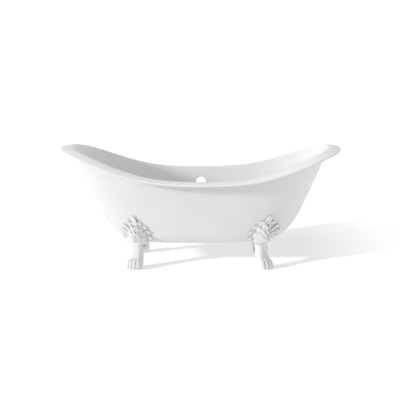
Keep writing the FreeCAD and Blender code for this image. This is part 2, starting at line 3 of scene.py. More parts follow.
import bpy
import numpy as np
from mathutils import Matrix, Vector


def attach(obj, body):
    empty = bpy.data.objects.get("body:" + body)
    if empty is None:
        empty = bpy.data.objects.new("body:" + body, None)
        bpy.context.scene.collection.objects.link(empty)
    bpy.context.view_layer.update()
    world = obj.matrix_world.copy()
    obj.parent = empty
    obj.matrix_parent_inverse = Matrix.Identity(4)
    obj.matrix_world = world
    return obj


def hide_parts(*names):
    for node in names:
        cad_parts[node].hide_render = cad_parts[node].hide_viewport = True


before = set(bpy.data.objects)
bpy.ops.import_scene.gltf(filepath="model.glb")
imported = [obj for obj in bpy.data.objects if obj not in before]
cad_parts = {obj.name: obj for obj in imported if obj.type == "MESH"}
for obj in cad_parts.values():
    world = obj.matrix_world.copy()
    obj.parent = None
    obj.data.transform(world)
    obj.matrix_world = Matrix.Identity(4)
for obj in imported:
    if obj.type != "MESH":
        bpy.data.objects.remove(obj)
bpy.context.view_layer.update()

print("frame loaded,", len(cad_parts), "nodes")

# Bowl and rim of the bath, in metres and degrees. "end" and "side" are the walls met along X and along Y,
# "rows" counts the rings in each stretch of the shell, and a search halves its range "halvings" times.
bath = {
    "planPower": 2.75,
    "sweepPower": 1.86,
    "climbPower": 2.37,
    "sweepShare": 0.41,
    "wall": 0.007,
    "floorPlate": 0.009,
    "underside": 0.155,
    "shoulder": 0.400,
    "rollDepth": 0.028,
    "rollPull": 7.0,
    "crestReach": 0.021,
    "rimFall": 0.0085,
    "edgeRound": 0.007,
    "lip": 0.015,
    "rimPlate": 0.008,
    "castRound": 0.0022,
    "junctionShare": 0.36,
    "end": {
        "half": 0.832,
        "height": 0.768,
        "lean": 24.2,
        "bend": 0.396,
        "floorHalf": 0.418,
        "reach": 0.083,
    },
    "side": {
        "half": 0.3215,
        "height": 0.581,
        "lean": 10.0,
        "bend": 0.240,
        "floorHalf": 0.165,
        "reach": 0.0685,
    },
    "columns": 320,
    "rows": {
        "lowWall": 30,
        "highWall": 17,
        "roll": 15,
        "flange": 8,
        "edge": 8,
        "round": 4,
        "hollow": 5,
        "under": 6,
        "joined": 5,
        "flat": 9,
    },
    "smoothAngle": 50,
    "halvings": 30,
}


# Superellipse in plan: the point at angle t, as shares of the half length and half width.
def planShare(t):
    along, across = np.cos(t), np.sin(t)
    power = bath["planPower"]
    scale = (np.abs(along) ** power + np.abs(across) ** power) ** (-1 / power)
    return along * scale, across * scale


# Height of the rim crest: side height plus a mix of a squared sine and a power of the along share.
def sheer(along):
    along = np.abs(along)
    sweep = np.sin(math.pi / 2 * along ** bath["sweepPower"]) ** 2
    rise = bath["sweepShare"] * sweep + (1 - bath["sweepShare"]) * along ** bath["climbPower"]
    return bath["side"]["height"] + rise * (bath["end"]["height"] - bath["side"]["height"])


# Half size of the bowl at a height: a straight leaning wall, and below the bend a parabola that
# runs out level into the floor. Inset 0 is the outside of the metal, 1 the inside; swell moves it out.
def wallHalf(z, way, inset=0.0, swell=0.0):
    w = bath[way]
    lean = math.radians(w["lean"])
    floor = bath["underside"] + inset * bath["floorPlate"] - swell
    top = w["half"] - inset * bath["wall"] / math.cos(lean) + swell
    bendHalf = top - (w["height"] - bath["rollDepth"] - w["bend"]) * math.tan(lean)
    corner = bendHalf - (w["bend"] - floor) * math.tan(lean)
    near = np.sqrt(np.clip((z - floor) / (w["bend"] - floor), 0, 1))
    far = 1 - near
    curved = near**2 * bendHalf + 2 * near * far * corner + far**2 * w["floorHalf"]
    return np.where(z >= w["bend"], bendHalf + (z - w["bend"]) * math.tan(lean), curved)


# How far out a point lies against the bowl's outside at its height: the powers of its two shares added up,
# below 1 inside. Under the bowl it counts as outside.
def wallShare(x, y, z):
    power = bath["planPower"]
    along = np.abs(x) / wallHalf(z, "end")
    across = np.abs(y) / wallHalf(z, "side")
    return np.where(z > bath["underside"], along**power + across**power, 2.0)


# Shares from 0 to 1 in equal steps.
def steps(count):
    return np.linspace(0, 1, count)


# Angles of a full turn in equal parts.
def turnParts(count):
    return np.arange(count) * 2 * math.pi / count


# Smooth curve through a table: cubic pieces whose slopes are taken across the neighbouring rows.
def throughTable(share, rows):
    rows = np.asarray(rows, float)
    x, y = rows[:, 0], rows[:, 1:]
    slope = np.gradient(y, x, axis=0)
    i = np.clip(np.searchsorted(x, share) - 1, 0, len(x) - 2)
    width = (x[i + 1] - x[i])[..., None]
    s = (np.asarray(share)[..., None] - x[i][..., None]) / width
    first = (1 + 2 * s) * (1 - s) ** 2 * y[i] + s * (1 - s) ** 2 * width * slope[i]
    second = s**2 * (3 - 2 * s) * y[i + 1] + s**2 * (s - 1) * width * slope[i + 1]
    return np.moveaxis(first + second, -1, 0)


# Puts points and faces into a new mesh: corners are point numbers, starts where each face begins.
def makeMesh(name, points, corners, starts, materials, faceMaterials=None, smoothAngle=40):
    used = np.unique(corners)
    renumber = np.zeros(len(points), np.int32)
    renumber[used] = np.arange(len(used))
    mesh = bpy.data.meshes.new(name)
    mesh.vertices.add(len(used))
    mesh.vertices.foreach_set("co", np.asarray(points, np.float32)[used].ravel())
    mesh.loops.add(len(corners))
    mesh.loops.foreach_set("vertex_index", renumber[corners])
    mesh.polygons.add(len(starts))
    mesh.polygons.foreach_set("loop_start", np.asarray(starts, np.int32))
    mesh.polygons.foreach_set("use_smooth", np.ones(len(starts), bool))
    for material in materials:
        mesh.materials.append(material)
    if faceMaterials is not None:
        mesh.polygons.foreach_set("material_index", np.asarray(faceMaterials, np.int32))
    mesh.update(calc_edges=True)
    mesh.validate()
    mesh.set_sharp_from_angle(angle=math.radians(smoothAngle))
    return mesh


# New object with a mesh, linked to the scene at the origin.
def addObject(name, mesh):
    item = bpy.data.objects.new(name, mesh)
    bpy.context.scene.collection.objects.link(item)
    return item


# Adds a piece made of four-cornered faces, riding on a body of the frame.
def makePiece(name, points, quads, materials, body, faceMaterials, smoothAngle):
    starts = np.arange(0, quads.size, 4)
    mesh = makeMesh(name, points, quads.ravel(), starts, materials, faceMaterials, smoothAngle)
    piece = addObject(name, mesh)
    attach(piece, body)
    return piece


# Corner numbers of the faces of a grid whose columns close round, and its rows too where asked.
def gridQuads(rows, columns, closedRows, start=0):
    r = np.arange(rows if closedRows else rows - 1)[:, None]
    c = np.arange(columns)[None, :]
    up, side = (r + 1) % rows, (c + 1) % columns
    corners = [r * columns + c, up * columns + c, up * columns + side, r * columns + side]
    return np.stack(np.broadcast_arrays(*corners), -1).reshape(-1, 4) + start


# Several grids of the same kind in one list of points and faces.
def joinGrids(grids, closedRows=False):
    points, quads, count = [], [], 0
    for grid in grids:
        rows, columns = grid.shape[:2]
        points.append(grid.reshape(-1, 3))
        quads.append(gridQuads(rows, columns, closedRows, count))
        count += rows * columns
    return np.concatenate(points), np.concatenate(quads)


# Finishes: two close colours spread by broad noise, a range of roughness, and a fine bump over it.
finishes = {
    "glossEnamel": {
        "colours": ((0.742, 0.744, 0.742), (0.759, 0.759, 0.755)),
        "rough": (0.09, 0.17),
        "patchScale": 4.0,
        "grainScale": 45.0,
        "bump": 0.10,
        "metal": 0.0,
        "coat": 0.6,
    },
    "satinPaint": {
        "colours": ((0.636, 0.638, 0.638), (0.654, 0.655, 0.653)),
        "rough": (0.30, 0.42),
        "patchScale": 6.0,
        "grainScale": 260.0,
        "bump": 0.16,
        "metal": 0.0,
        "coat": 0.15,
    },
    "footPaint": {
        "colours": ((0.650, 0.652, 0.651), (0.670, 0.671, 0.668)),
        "rough": (0.28, 0.42),
        "patchScale": 14.0,
        "grainScale": 320.0,
        "bump": 0.20,
        "metal": 0.0,
        "coat": 0.15,
        # Painted shade: the feet's colour is multiplied by this tone in their hollows and creases.
        "hollowShadeTone": 0.87,
    },
    "zincPlate": {
        "colours": ((0.50, 0.51, 0.53), (0.63, 0.64, 0.66)),
        "rough": (0.24, 0.40),
        "patchScale": 90.0,
        "grainScale": 700.0,
        "bump": 0.15,
        "metal": 1.0,
        "coat": 0.0,
    },
    "darkNylon": {
        "colours": ((0.020, 0.020, 0.021), (0.032, 0.032, 0.034)),
        "rough": (0.42, 0.58),
        "patchScale": 60.0,
        "grainScale": 900.0,
        "bump": 0.20,
        "metal": 0.0,
        "coat": 0.0,
    },
}

# What the finishes share: settings of the noise, the parts of its range that colours and roughness span, the
# coat's roughness, the bump's depth in metres and how much of its blue the painted shade in a hollow keeps.
surface = {
    "noiseRough": 0.55,
    "patchDetail": 3.0,
    "grainDetail": 2.0,
    "colourSpots": (0.35, 0.65),
    "roughSpan": (0.3, 0.7),
    "coatRough": 0.08,
    "bumpDepth": 0.0006,
    "hollowShadeBlue": 0.99,
}


# Noise node that runs on the piece's own coordinates.
def addNoise(nodes, links, place, scale, detail):
    noise = nodes.new("ShaderNodeTexNoise")
    noise.inputs["Scale"].default_value = scale
    noise.inputs["Detail"].default_value = detail
    noise.inputs["Roughness"].default_value = surface["noiseRough"]
    links.new(place.outputs["Object"], noise.inputs["Vector"])
    return noise


# Broad noise mixes the two colours and moves the roughness; fine noise makes the bump. Where the finish
# has a tone for hollows, the piece's own attribute "hollow" darkens them: painted shade in creases and
# recesses.
def makeFinish(name):
    f = finishes[name]
    material = bpy.data.materials.new(name)
    material.use_nodes = True
    nodes, links = material.node_tree.nodes, material.node_tree.links
    shader = nodes["Principled BSDF"]
    shader.inputs["Metallic"].default_value = f["metal"]
    shader.inputs["Coat Weight"].default_value = f["coat"]
    shader.inputs["Coat Roughness"].default_value = surface["coatRough"]
    place = nodes.new("ShaderNodeTexCoord")
    patches = addNoise(nodes, links, place, f["patchScale"], surface["patchDetail"])
    grain = addNoise(nodes, links, place, f["grainScale"], surface["grainDetail"])
    tones = nodes.new("ShaderNodeValToRGB")
    for element, spot, colour in zip(tones.color_ramp.elements, surface["colourSpots"], f["colours"]):
        element.position = spot
        element.color = (*colour, 1)
    links.new(patches.outputs["Fac"], tones.inputs["Fac"])
    colour = tones.outputs["Color"]
    # Painted shade: hollows of the skin are darkened by the finish's tone.
    if "hollowShadeTone" in f:
        hollow = nodes.new("ShaderNodeAttribute")
        hollow.attribute_name = "hollow"
        tone = f["hollowShadeTone"]
        shade = nodes.new("ShaderNodeMix")
        shade.data_type = "RGBA"
        shade.blend_type = "MULTIPLY"
        shade.inputs["B"].default_value = (tone, tone, tone * surface["hollowShadeBlue"], 1)
        links.new(hollow.outputs["Fac"], shade.inputs["Factor"])
        links.new(colour, shade.inputs["A"])
        colour = shade.outputs["Result"]
    links.new(colour, shader.inputs["Base Color"])
    spread = nodes.new("ShaderNodeMapRange")
    spread.inputs["From Min"].default_value = surface["roughSpan"][0]
    spread.inputs["From Max"].default_value = surface["roughSpan"][1]
    spread.inputs["To Min"].default_value = f["rough"][0]
    spread.inputs["To Max"].default_value = f["rough"][1]
    links.new(patches.outputs["Fac"], spread.inputs["Value"])
    links.new(spread.outputs["Result"], shader.inputs["Roughness"])
    bump = nodes.new("ShaderNodeBump")
    bump.inputs["Strength"].default_value = f["bump"]
    bump.inputs["Distance"].default_value = surface["bumpDepth"]
    links.new(grain.outputs["Fac"], bump.inputs["Height"])
    links.new(bump.outputs["Normal"], shader.inputs["Normal"])
    return material


made = {name: makeFinish(name) for name in finishes}
print("finishes made")

# Holes of the shell, in metres: the waste hole with its rebate and pad, and the overflow hole with the block
# of the wall round it that is made again in rings.
holes = {
    "drainAcross": 0.092,
    "drainRadius": 0.026,
    "rebateRadius": 0.043,
    "rebateDepth": 0.003,
    "padRadius": 0.050,
    "padHeight": 0.005,
    "edgeRound": 0.0015,
    "overflowRadius": 0.032,
    "overflowHeight": 0.482,
    "overflowRound": 0.002,
    "blockHalf": 0.062,
    "patchRings": 6,
    "roundRows": 5,
    "aimRounds": 4,
}


# Rings of the bowl: points at the plan shares, with half sizes taken at each point's own height.
def bowlRings(plan, z, inset, swell=0.0):
    along, across = plan
    z = np.broadcast_to(z, np.broadcast_shapes(z.shape, along.shape))
    x = along * wallHalf(z, "end", inset, swell)
    y = across * wallHalf(z, "side", inset, swell)
    return np.stack([x, y, z], -1)


# Rings of the rim: the outside wall line at the foot of the roll, moved out by a reach at the ends and
# one at the sides, and set a drop below the crest.
def rimRings(plan, reaches, drop):
    along, across = plan
    reaches = np.asarray(reaches)
    crest = sheer(along)
    level = crest - bath["rollDepth"]
    x = along * (wallHalf(level, "end") + reaches[:, :1])
    y = across * (wallHalf(level, "side") + reaches[:, 1:])
    return np.stack([x, y, crest - np.asarray(drop)[:, None] + 0 * x], -1)


# Circles round the waste hole: one for each radius, at the height given with it.
def drainRings(t, radius, z):
    radius, z = np.asarray(radius)[:, None], np.asarray(z)[:, None]
    x = radius * np.cos(t)
    y = holes["drainAcross"] + radius * np.sin(t)
    return np.stack([x, y, z + 0 * x], -1)


# Straight rings between two given ones.
def blendRings(first, last, shares):
    shares = np.asarray(shares)[:, None, None]
    return first * (1 - shares) + last * shares


# Quarter circle of a radius, as the two distances from its corner.
def quarter(count, radius):
    angle = np.linspace(0, math.pi / 2, count)
    return radius * (1 - np.sin(angle)), radius * (1 - np.cos(angle))


# Level rings up to the shoulder, closer together at the floor, then rings that take up the sheer.
def wallRings(plan, inset, drop):
    rows = bath["rows"]
    floor = bath["underside"] + inset * bath["floorPlate"]
    low = floor + (bath["shoulder"] - floor) * steps(rows["lowWall"])[:, None] ** 2
    share = steps(rows["highWall"])[1:, None]
    high = bath["shoulder"] * (1 - share) + (sheer(plan[0]) - drop) * share
    return np.concatenate([bowlRings(plan, low, inset), bowlRings(plan, high, inset)])


# Top of the rim: a conic that leaves the inside wall in line with it and is pulled towards its corner, a
# flange that falls with the square of its share, and a quarter round at the edge.
def rimTop(plan, reach):
    b, rows = bath, bath["rows"]
    s = steps(rows["roll"])[1:]
    pull = 2 * b["rollPull"] * s * (1 - s)
    whole = (1 - s) ** 2 + pull + s**2
    roll = []
    for way in ("end", "side"):
        lean = math.radians(b[way]["lean"])
        start = -b["wall"] / math.cos(lean)
        corner = start + b["rollDepth"] * math.tan(lean)
        roll.append(((1 - s) ** 2 * start + pull * corner + s**2 * b["crestReach"]) / whole)
    rolled = rimRings(plan, np.stack(roll, -1), b["rollDepth"] * (1 - s) ** 2 / whole)
    s = steps(rows["flange"])[1:, None]
    out = b["crestReach"] + s * (reach - b["edgeRound"] - b["crestReach"])
    flange = rimRings(plan, out, b["rimFall"] * s[:, 0] ** 2)
    inset, drop = quarter(rows["edge"], b["edgeRound"])
    edge = rimRings(plan, reach - inset[1:, None], b["rimFall"] + drop[1:])
    return np.concatenate([rolled, flange, edge])


# Lip and underside of the rim: small rounds at the lip's bottom, a hollow round inside it, then straight in.
def rimUnder(plan, reach):
    b, rows = bath, bath["rows"]
    sharp, soft = quarter(rows["round"], b["castRound"])
    bottom = b["rimFall"] + b["lip"]
    lipOut = rimRings(plan, reach - soft[:, None], bottom - sharp)
    lipBack = rimRings(plan, reach - b["rimPlate"] + sharp[:, None], bottom - soft)
    hollow, deep = quarter(rows["hollow"], 2 * b["castRound"])
    top = b["rimFall"] + b["rimPlate"]
    corner = reach - b["rimPlate"] - deep[:, None]
    inner = rimRings(plan, corner, top + hollow)
    s = steps(rows["under"])[1:]
    inward = corner[-1] + s[:, None] * (b["crestReach"] - corner[-1])
    level = rimRings(plan, inward, top + s * (b["rimPlate"] - top))
    return np.concatenate([lipOut, lipBack]), np.concatenate([inner, level])


# Whole shell as one grid closed both ways: floor, inside wall, rim, outside wall, underside, waste hole.
# With it goes the row where each of these stretches ends.
def shellGrid():
    b, h, rows = bath, holes, bath["rows"]
    t = turnParts(b["columns"])
    plan = planShare(t)
    reach = np.array([b["end"]["reach"], b["side"]["reach"]])
    inner = wallRings(plan, 1.0, b["rollDepth"])
    outer = wallRings(plan, 0.0, b["rimPlate"] + b["junctionShare"] * b["rollDepth"])[::-1]
    lip, under = rimUnder(plan, reach)
    joined = blendRings(under[-1], outer[0], steps(rows["joined"])[1:-1])
    rebate, drain, pad, small = h["rebateRadius"], h["drainRadius"], h["padRadius"], h["edgeRound"]
    sharp, soft = quarter(rows["round"], small)
    innerFloor, outerFloor = b["underside"] + b["floorPlate"], b["underside"]
    padBottom, ledge = outerFloor - h["padHeight"], innerFloor - h["rebateDepth"]
    padRadii = np.concatenate([[pad + 2 * small, pad + small / 2, pad], pad - soft, drain + soft[::-1]])
    fillet = [outerFloor, outerFloor - small / 2, outerFloor - 2 * small]
    padRings = drainRings(t, padRadii, np.concatenate([fillet, padBottom + sharp, padBottom + sharp[::-1]]))
    boreRadii = np.concatenate([drain + soft, [rebate], rebate + soft])
    bore = drainRings(t, boreRadii, np.concatenate([ledge - sharp, [ledge], innerFloor - sharp]))
    innerFlat = blendRings(bore[-1], inner[0], steps(rows["flat"])[1:-1])
    outerFlat = blendRings(outer[-1], padRings[0], steps(rows["flat"])[1:-1])
    runs = {
        "innerFlat": innerFlat,
        "inner": inner,
        "rimTop": rimTop(plan, reach),
        "lip": lip,
        "under": under,
        "joined": joined,
        "outer": outer,
        "outerFlat": outerFlat,
        "pad": padRings,
        "bore": bore,
    }
    ends = np.cumsum([len(run) for run in runs.values()])
    return np.concatenate(list(runs.values())), dict(zip(runs, ends))


# Depth of the far wall at x and z: the superellipse solved for its second half size.
def farWall(x, z, inset):
    power = bath["planPower"]
    share = np.clip(1 - (np.abs(x) / wallHalf(z, "end", inset)) ** power, 0, 1)
    return wallHalf(z, "side", inset) * share ** (1 / power)


# Circle of the overflow hole on one face of the far wall: a cylinder square to the wall, followed along
# its axis until it meets the face, then sunk into the metal.
def overflowRing(angle, radius, inset, sink=0.0):
    lean = math.radians(bath["side"]["lean"])
    x, up = radius * np.cos(angle), radius * np.sin(angle)
    height = holes["overflowHeight"]
    base = farWall(np.array(0.0), np.array(height), 0.0)
    s = np.full_like(x, -inset * bath["wall"])
    for _ in range(holes["aimRounds"]):
        z = height + up * math.cos(lean) - s * math.sin(lean)
        y = base + up * math.sin(lean) + s * math.cos(lean)
        s = s + (farWall(x, z, inset) - y) * math.cos(lean)
    s = s + (sink if inset else -sink)
    z = height + up * math.cos(lean) - s * math.sin(lean)
    y = base + up * math.sin(lean) + s * math.cos(lean)
    return np.stack([x, y, z], -1)


# Rings from the edge of a block of faces in the far wall to the overflow's rounded circle: x and z run
# straight, and the depth follows the wall.
def overflowPatch(border, inset):
    h = holes
    lean = math.radians(bath["side"]["lean"])
    angle = np.arctan2((border[:, 2] - h["overflowHeight"]) / math.cos(lean), border[:, 0])
    start = overflowRing(angle, h["overflowRadius"] + h["overflowRound"], inset)
    share = steps(h["patchRings"] + 1)[1:, None]
    x = border[:, 0] * (1 - share) + start[:, 0] * share
    z = border[:, 2] * (1 - share) + start[:, 2] * share
    patch = np.stack([x, farWall(x, z, inset), z], -1)
    wide, sunk = quarter(h["roundRows"], h["overflowRound"])
    edge = [overflowRing(angle, h["overflowRadius"] + w, inset, d) for w, d in zip(wide[1:], sunk[1:])]
    return np.concatenate([patch, edge])


# Shell with the overflow hole: a block of faces is left out of both walls, patches close it down to the
# hole, and a tunnel joins the two patches.
def makeShell():
    grid, ends = shellGrid()
    columns = bath["columns"]
    farColumn = columns // 4
    points = grid.reshape(-1, 3)
    number = np.arange(len(points)).reshape(grid.shape[:2])
    keep = np.ones(number.shape, bool)
    row = np.repeat(np.arange(len(grid)), columns)
    finish = ((row >= ends["rimTop"] - 1) & (row < ends["outerFlat"])).astype(np.int32)
    extra, faces, tones, rims = [points], [], [], []
    count = len(points)
    walls = (1.0, ends["innerFlat"], ends["inner"]), (0.0, ends["joined"], ends["outer"])
    for inset, first, last in walls:
        offset = grid[first:last, farColumn, 2] - holes["overflowHeight"]
        rows = first + np.flatnonzero(np.abs(offset) < holes["blockHalf"])
        low, high = rows[0], rows[-1]
        inBlock = (np.abs(grid[low, :, 0]) < holes["blockHalf"]) & (grid[low, :, 1] > 0)
        left, right = np.flatnonzero(inBlock)[[0, -1]]
        keep[low:high, left:right] = False
        sides = [number[low, left:right], number[low:high, right]]
        sides += [number[high, left + 1 : right + 1][::-1], number[low + 1 : high + 1, left][::-1]]
        ring = np.concatenate(sides)
        patch = overflowPatch(points[ring], inset)
        rings = np.concatenate([ring[None], count + np.arange(patch[..., 0].size).reshape(patch.shape[:2])])
        a, b = rings[:-1], rings[1:]
        faces.append(np.stack([b, np.roll(b, -1, 1), np.roll(a, -1, 1), a], -1).reshape(-1, 4))
        tones.append(np.full(len(faces[-1]), int(inset == 0)))
        extra.append(patch.reshape(-1, 3))
        rims.append(rings[-1])
        count += patch[..., 0].size
    whole = np.concatenate(extra)
    around = [np.arctan2(whole[ring, 2] - holes["overflowHeight"], whole[ring, 0]) for ring in rims]
    inside, outside = [ring[np.argsort(angle)] for ring, angle in zip(rims, around)]
    tunnel = np.stack([inside, np.roll(inside, -1), np.roll(outside, -1), outside], -1)
    kept = keep.ravel()
    quads = np.concatenate([gridQuads(len(grid), columns, True)[kept]] + faces + [tunnel])
    finish = np.concatenate([finish[kept]] + tones + [np.zeros(len(tunnel), int)])
    return whole, quads, finish


# Boss over each foot, in metres: where it stands, its size, the stud's hole and how far its top is sunk in
# the metal.
boss = {
    "along": 0.3776,
    "across": 0.1698,
    "radius": 0.027,
    "bottom": 0.142,
    "hole": 0.00606,
    "edgeRound": 0.0015,
    "sunk": 0.0035,
    "columns": 72,
    "roundRows": 4,
    "wallRows": 4,
    "topRows": 6,
}


# Height of the bowl's outside over a point, found by halving.
def bellyHeight(x, y):
    low, high = np.full(x.shape, bath["underside"]), np.full(x.shape, bath["shoulder"])
    for _ in range(bath["halvings"]):
        middle = (low + high) / 2
        inside = wallShare(x, y, middle) < 1
        low, high = np.where(inside, low, middle), np.where(inside, middle, high)
    return high


# Boss as a ring-shaped grid of circles: down the stud's hole, out along the bottom, round its edge, up
# the wall, and back to the hole inside the metal, where the height follows the bowl.
def bossGrid():
    b = boss
    sharp, soft = quarter(b["roundRows"], b["edgeRound"])
    rise = steps(b["wallRows"] + 1)[1:]
    inward = b["radius"] + steps(b["topRows"])[1:-1] * (b["hole"] - b["radius"])
    radius = np.concatenate([[b["hole"]] * 2, b["radius"] - sharp, 0 * rise + b["radius"], inward])[:, None]
    share = np.concatenate([[1, 0], 0 * soft, rise, 0 * inward + 1])[:, None]
    low = b["bottom"] + np.concatenate([[0, 0], soft, 0 * rise + b["edgeRound"], 0 * inward])[:, None]
    a = turnParts(b["columns"])
    x, y = b["along"] + radius * np.cos(a), b["across"] + radius * np.sin(a)
    z = low * (1 - share) + (bellyHeight(x, y) + b["sunk"]) * share
    return np.stack([x, y, z], -1)[::-1]


# Shell and its four bosses: the boss mirrored to each corner, with its faces turned round where one mirror
# is used.
def addBosses(points, quads, finish):
    bossPoints, bossQuads = joinGrids([bossGrid()], True)
    for sideAlong, sideAcross in ((1, 1), (-1, 1), (1, -1), (-1, -1)):
        order = bossQuads if sideAlong == sideAcross else bossQuads[:, ::-1]
        quads = np.concatenate([quads, order + len(points)])
        points = np.concatenate([points, bossPoints * np.array([sideAlong, sideAcross, 1])])
        finish = np.concatenate([finish, np.ones(len(order), int)])
    return points, quads, finish


shellPoints, shellQuads, shellFinish = addBosses(*makeShell())
shellMaterials = [made["glossEnamel"], made["satinPaint"]]
shell = makePiece(
    "bathShell",
    shellPoints,
    shellQuads,
    shellMaterials,
    "tub",
    shellFinish,
    bath["smoothAngle"],
)
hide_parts("tub_shell")
print("shell made,", len(shellQuads), "faces")

# Foot, in metres and degrees, in its own frame: x points along the toes, y towards the middle of the bath,
# z up, and the leg stands on the origin. Rows of "leg": height share, then forward shift, half depth and
# half width in diameters. Rows of "toe" and "claw": share of the path, then x, z, radius and half width.
# "toes" gives each toe's y and how far it stands back, and the sizes of grids are rows, then columns. Of
# "places", "lean" leans the leaf away from the middle. "bolted" is the place of the stud, the shelf and the
# levelling screw.
foot = {
    "places": {
        "right": {"angle": 53.0, "along": 0.389, "across": 0.220, "lean": 0.165},
        "left": {"angle": 66.0, "along": 0.409, "across": 0.220, "lean": 0.080},
        "rear": {"angle": 70.0, "along": 0.390, "across": 0.215, "lean": 0.100},
    },
    "bolted": {"angle": 66.0, "along": 0.400, "across": 0.220},
    "diameter": 0.074,
    "sole": 0.002,
    "height": 0.262,
    "squareness": 3.0,
    "leg": (
        (0.00, 0.40, 0.40, 0.52),
        (0.05, 0.38, 0.54, 0.57),
        (0.14, 0.31, 0.59, 0.59),
        (0.25, 0.20, 0.55, 0.56),
        (0.37, 0.07, 0.49, 0.50),
        (0.52, 0.00, 0.445, 0.445),
        (0.64, 0.01, 0.46, 0.47),
        (0.73, 0.01, 0.46, 0.49),
        (0.82, 0.00, 0.40, 0.42),
        (0.92, -0.06, 0.30, 0.30),
        (1.00, -0.12, 0.18, 0.18),
    ),
    "toe": (
        (0.00, 0.016, 0.080, 0.006, 0.007),
        (0.25, 0.043, 0.067, 0.0105, 0.0090),
        (0.50, 0.064, 0.048, 0.0145, 0.0118),
        (0.75, 0.074, 0.024, 0.0142, 0.0122),
        (1.00, 0.074, 0.004, 0.0110, 0.0102),
    ),
    "claw": (
        (0.0, 0.072, 0.020, 0.0065, 0.0055),
        (0.5, 0.0845, 0.0145, 0.0055, 0.0048),
        (1.0, 0.0880, 0.0040, 0.0014, 0.0014),
    ),
    "toes": ((-0.032, 0.009), (-0.0110, 0.0), (0.0110, 0.0), (0.032, 0.009)),
    "toeBlunt": 8,
    "splay": 0.16,
    "splayFrom": 0.04,
    "gather": 0.80,
    "gatherWithin": 0.075,
    "levelReach": 0.028,
    "recessRadius": 0.024,
    "recessTop": 0.022,
    "boreRadius": 0.00606,
    "boreTop": 0.072,
    "studInset": 0.055,
    "studRadius": 0.00675,
    "shelfHalf": 0.030,
    "shelfPlate": 0.016,
    "shelfRound": 0.003,
    "leastSine": 1e-6,
    "clearance": 0.0006,
    "voxel": 0.0017,
    "easeShare": 0.5,
    "easeRounds": 2,
    # Rounds of averaging and depth that set the mask of painted shade in the feet's hollows.
    "hollowRounds": 6,
    "hollowDepth": 0.0016,
    "smoothAngle": 60,
    "legGrid": (120, 132),
    "toeGrid": (48, 32),
    "clawGrid": (24, 20),
    "bowlRoom": (60, 192),
    "crownRows": 6,
    "soleRows": 4,
    "roundRows": 4,
    "shelfColumns": 96,
    "drumColumns": 64,
}

# Leaf over the knee, in metres and degrees. Rows of "fingers": angle off plumb, share of the reach, half
# width, lift off the ground and curl. The last values are the size of a finger's grid, shares of its angle,
# length and width, and powers.
leaf = {
    "rootHeight": 0.176,
    "reach": 0.172,
    "innerShare": 0.14,
    "backMost": 0.022,
    "domeFront": 0.040,
    "domeSlope": 0.10,
    "domeRound": 0.042,
    "ease": 0.004,
    "thick": 0.0090,
    "back": 0.0060,
    "scoop": 0.0078,
    "rib": 0.0030,
    "tilt": 0.0050,
    "wallSearch": (-0.12, 0.2),
    "fingers": (
        (0.0, 1.00, 0.0185, 0.0030, 0.0090),
        (17.0, 0.84, 0.0172, 0.0010, 0.0095),
        (36.5, 0.77, 0.0180, 0.0010, 0.0100),
        (57.0, 0.72, 0.0175, 0.0010, 0.0105),
        (79.0, 0.63, 0.0160, 0.0010, 0.0100),
        (99.0, 0.43, 0.0140, 0.0005, 0.0080),
        (9.5, 0.66, 0.0150, 0.0080, 0.0110),
        (30.0, 0.60, 0.0150, 0.0080, 0.0110),
        (52.0, 0.54, 0.0145, 0.0075, 0.0110),
        (76.0, 0.42, 0.0130, 0.0055, 0.0090),
        (0.0, 0.45, 0.0115, 0.0130, 0.0080),
        (24.0, 0.40, 0.0110, 0.0120, 0.0080),
        (52.0, 0.33, 0.0105, 0.0105, 0.0080),
    ),
    "fingerGrid": (56, 44),
    "rootTurn": 0.8,
    "bendTurn": 0.84,
    "bendShare": 0.66,
    "rootWidth": 0.45,
    "rootRound": 0.06,
    "widest": 0.62,
    "ribWidth": 0.22,
    "swellPower": 1.3,
    "tipPower": 2.4,
    "edgePower": 8,
    "cupSkew": 0.85,
    "cupPower": 0.6,
    "curlPower": 3,
}

# Collar where the leaf ends on the ankle, in metres: its middle height, half height, how far it stands off
# and swells, and the depth and count of the scallops in its lower edge.
collar = {
    "height": 0.184,
    "half": 0.008,
    "off": 0.001,
    "swell": 0.0055,
    "scallop": 0.004,
    "scallops": 9,
    "grid": (20, 144),
}


# From a foot's frame to the bath's: a turn about the leg axis, then a move.
def toBath(place, x, y):
    c, s = math.cos(math.radians(place["angle"])), math.sin(math.radians(place["angle"]))
    return place["along"] + x * c - y * s, place["across"] + x * s + y * c


# From the bath's frame back to a foot's: the move undone, then the turn.
def fromBath(place, x, y):
    c, s = math.cos(math.radians(place["angle"])), math.sin(math.radians(place["angle"]))
    x, y = x - place["along"], y - place["across"]
    return x * c + y * s, y * c - x * s


# Where the bath's outside lies along the foot's x, at y and z there, found by halving.
def wallFront(place, y, z):
    low, high = [np.full(y.shape, limit) for limit in leaf["wallSearch"]]
    for _ in range(bath["halvings"]):
        middle = (low + high) / 2
        inside = wallShare(*toBath(place, middle, y), z) < 1
        low, high = np.where(inside, middle, low), np.where(inside, high, middle)
    return low


# Ground that the leaf lies on: the further out of the wall and a dome over the knee, with the crease eased.
def leafGround(place, y, z):
    wall = np.maximum(wallFront(place, y, z), -leaf["backMost"])
    rise = z - leaf["rootHeight"]
    aside = y + place["lean"] * rise
    dome = leaf["domeFront"] - leaf["domeSlope"] * rise - aside**2 / (2 * leaf["domeRound"])
    return leaf["ease"] * np.logaddexp(wall / leaf["ease"], dome / leaf["ease"])


# Squared ellipse: signed powers of the angle's cosine and sine, times the half sizes.
def squaredEllipse(angle, depth, width):
    power = 2 / foot["squareness"]
    x = depth * np.sign(np.cos(angle)) * np.abs(np.cos(angle)) ** power
    y = width * np.sign(np.sin(angle)) * np.abs(np.sin(angle)) ** power
    return x, y


